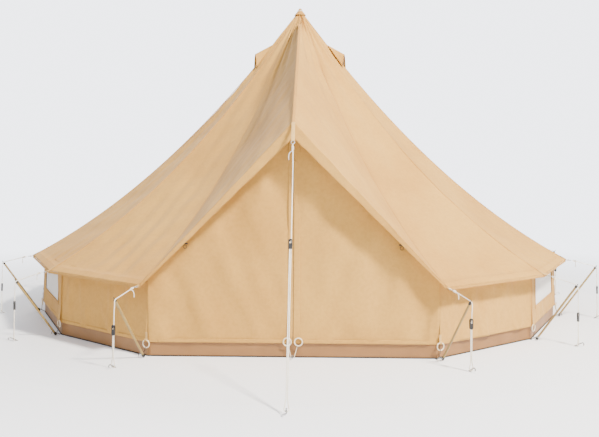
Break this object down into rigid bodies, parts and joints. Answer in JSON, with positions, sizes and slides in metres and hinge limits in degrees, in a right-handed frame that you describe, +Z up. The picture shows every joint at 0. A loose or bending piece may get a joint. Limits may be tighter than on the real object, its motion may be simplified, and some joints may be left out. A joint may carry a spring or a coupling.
{
  "type": "bell tent",
  "caption": "Canvas bell tent on a centre pole and an A-frame door, with leaning side poles, guylines with runners and pegs, and two opening door leaves.",
  "frame": {"origin": "on the ground under the centre pole, in the groundsheet's underside", "axes": "+Z up, the door faces -Y, +X to the right seen from the back"},
  "size_m": [5.7424, 6.5951, 2.988],
  "materials": {
    "canvas": "sand-coloured cotton canvas, matt",
    "cap_canvas": "heavier sand canvas, matt",
    "groundsheet": "tan coated groundsheet, satin",
    "net": "pale insect netting",
    "zip_tape": "woven zip tape",
    "zip_metal": "dull metal",
    "pole_steel": "galvanised steel tube",
    "side_pole": "tan painted steel tube",
    "peg_steel": "bright steel wire",
    "black_plastic": "black moulded plastic",
    "white_ring": "cream moulded plastic",
    "elastic": "dark elastic cord",
    "webbing": "sand webbing with metal rings",
    "rope": "cream braided cotton rope"
  },
  "bodies": {
    "tent": {"roof_canvas": "canvas", "apex_cap": "cap_canvas", "eave_valance": "canvas", "wall_canvas": "canvas", "front_panels": "canvas", "mesh_nets": "net", "vent_hoods": "canvas", "groundsheet": "groundsheet", "centre_pole_lower": "pole_steel", "centre_pole_middle": "pole_steel", "centre_pole_upper": "pole_steel", "centre_pole_foot": "black_plastic", "centre_pole_cap": "black_plastic", "door_frame_left": "pole_steel", "door_frame_right": "pole_steel", "door_frame_elbow": "black_plastic", "door_frame_feet": "black_plastic", "side_poles": "side_pole", "side_pole_caps": "black_plastic", "guy_pegs": "peg_steel", "base_pegs": "peg_steel", "corner_rings": "white_ring", "ring_elastics": "elastic", "eave_rings": "webbing", "door_toggles": "black_plastic", "guyline_front": "rope", "guyline_right_1": "rope", "guyline_right_2": "rope", "guyline_right_3": "rope", "guyline_right_4": "rope", "guyline_right_5": "rope", "guyline_right_6": "rope", "guyline_back": "rope", "guyline_left_6": "rope", "guyline_left_5": "rope", "guyline_left_4": "rope", "guyline_left_3": "rope", "guyline_left_2": "rope", "guyline_left_1": "rope"},
    "door_left": {"door_left": "canvas", "zip_tape_left": "zip_tape", "door_ring_left": "white_ring"},
    "door_right": {"door_right": "canvas", "zip_tape_right": "zip_tape", "door_ring_right": "white_ring"},
    "zip_slider": {"zip_slider": "zip_metal"},
    "runner_front": {"tensioner_front": "black_plastic"},
    "runner_right_1": {"tensioner_right_1": "black_plastic"},
    "runner_right_2": {"tensioner_right_2": "black_plastic"},
    "runner_right_3": {"tensioner_right_3": "black_plastic"},
    "runner_right_4": {"tensioner_right_4": "black_plastic"},
    "runner_right_5": {"tensioner_right_5": "black_plastic"},
    "runner_right_6": {"tensioner_right_6": "black_plastic"},
    "runner_back": {"tensioner_back": "black_plastic"},
    "runner_left_6": {"tensioner_left_6": "black_plastic"},
    "runner_left_5": {"tensioner_left_5": "black_plastic"},
    "runner_left_4": {"tensioner_left_4": "black_plastic"},
    "runner_left_3": {"tensioner_left_3": "black_plastic"},
    "runner_left_2": {"tensioner_left_2": "black_plastic"},
    "runner_left_1": {"tensioner_left_1": "black_plastic"}
  },
  "joints": [
    {"name": "door_left_hinge", "type": "hinge", "parent": "tent", "child": "door_left", "pos_m": [-1.03992, -2.25892, 0.108], "axis": [-0.5985, 0, -0.8011], "range_deg": [0, 105]},
    {"name": "door_right_hinge", "type": "hinge", "parent": "tent", "child": "door_right", "pos_m": [1.03992, -2.25892, 0.108], "axis": [-0.5985, 0, 0.8011], "range_deg": [0, 105]},
    {"name": "zip_slide", "type": "slide", "parent": "door_right", "child": "zip_slider", "axis": [0, 0, 1], "range_m": [0, 1.2]},
    {"name": "runner_front_slide", "type": "slide", "parent": "tent", "child": "runner_front", "axis": [0, -0.5716, -0.8205], "range_m": [0, 0.3]},
    {"name": "runner_right_1_slide", "type": "slide", "parent": "tent", "child": "runner_right_1", "axis": [0.0162, -0.0336, -0.9993], "range_m": [0, 0.12]},
    {"name": "runner_right_2_slide", "type": "slide", "parent": "tent", "child": "runner_right_2", "axis": [0.0291, -0.0232, -0.9993], "range_m": [0, 0.09]},
    {"name": "runner_right_3_slide", "type": "slide", "parent": "tent", "child": "runner_right_3", "axis": [0.0363, -0.0083, -0.9993], "range_m": [0, 0.12]},
    {"name": "runner_right_4_slide", "type": "slide", "parent": "tent", "child": "runner_right_4", "axis": [0.0363, 0.0083, -0.9993], "range_m": [0, 0.12]},
    {"name": "runner_right_5_slide", "type": "slide", "parent": "tent", "child": "runner_right_5", "axis": [0.0291, 0.0232, -0.9993], "range_m": [0, 0.12]},
    {"name": "runner_right_6_slide", "type": "slide", "parent": "tent", "child": "runner_right_6", "axis": [0.0162, 0.0336, -0.9993], "range_m": [0, 0.12]},
    {"name": "runner_back_slide", "type": "slide", "parent": "tent", "child": "runner_back", "axis": [0, 0.0373, -0.9993], "range_m": [0, 0.12]},
    {"name": "runner_left_6_slide", "type": "slide", "parent": "tent", "child": "runner_left_6", "axis": [-0.0162, 0.0336, -0.9993], "range_m": [0, 0.12]},
    {"name": "runner_left_5_slide", "type": "slide", "parent": "tent", "child": "runner_left_5", "axis": [-0.0291, 0.0232, -0.9993], "range_m": [0, 0.12]},
    {"name": "runner_left_4_slide", "type": "slide", "parent": "tent", "child": "runner_left_4", "axis": [-0.0363, 0.0083, -0.9993], "range_m": [0, 0.12]},
    {"name": "runner_left_3_slide", "type": "slide", "parent": "tent", "child": "runner_left_3", "axis": [-0.0363, -0.0083, -0.9993], "range_m": [0, 0.105]},
    {"name": "runner_left_2_slide", "type": "slide", "parent": "tent", "child": "runner_left_2", "axis": [-0.0291, -0.0232, -0.9993], "range_m": [0, 0.12]},
    {"name": "runner_left_1_slide", "type": "slide", "parent": "tent", "child": "runner_left_1", "axis": [-0.0162, -0.0336, -0.9993], "range_m": [0, 0.12]}
  ]
}
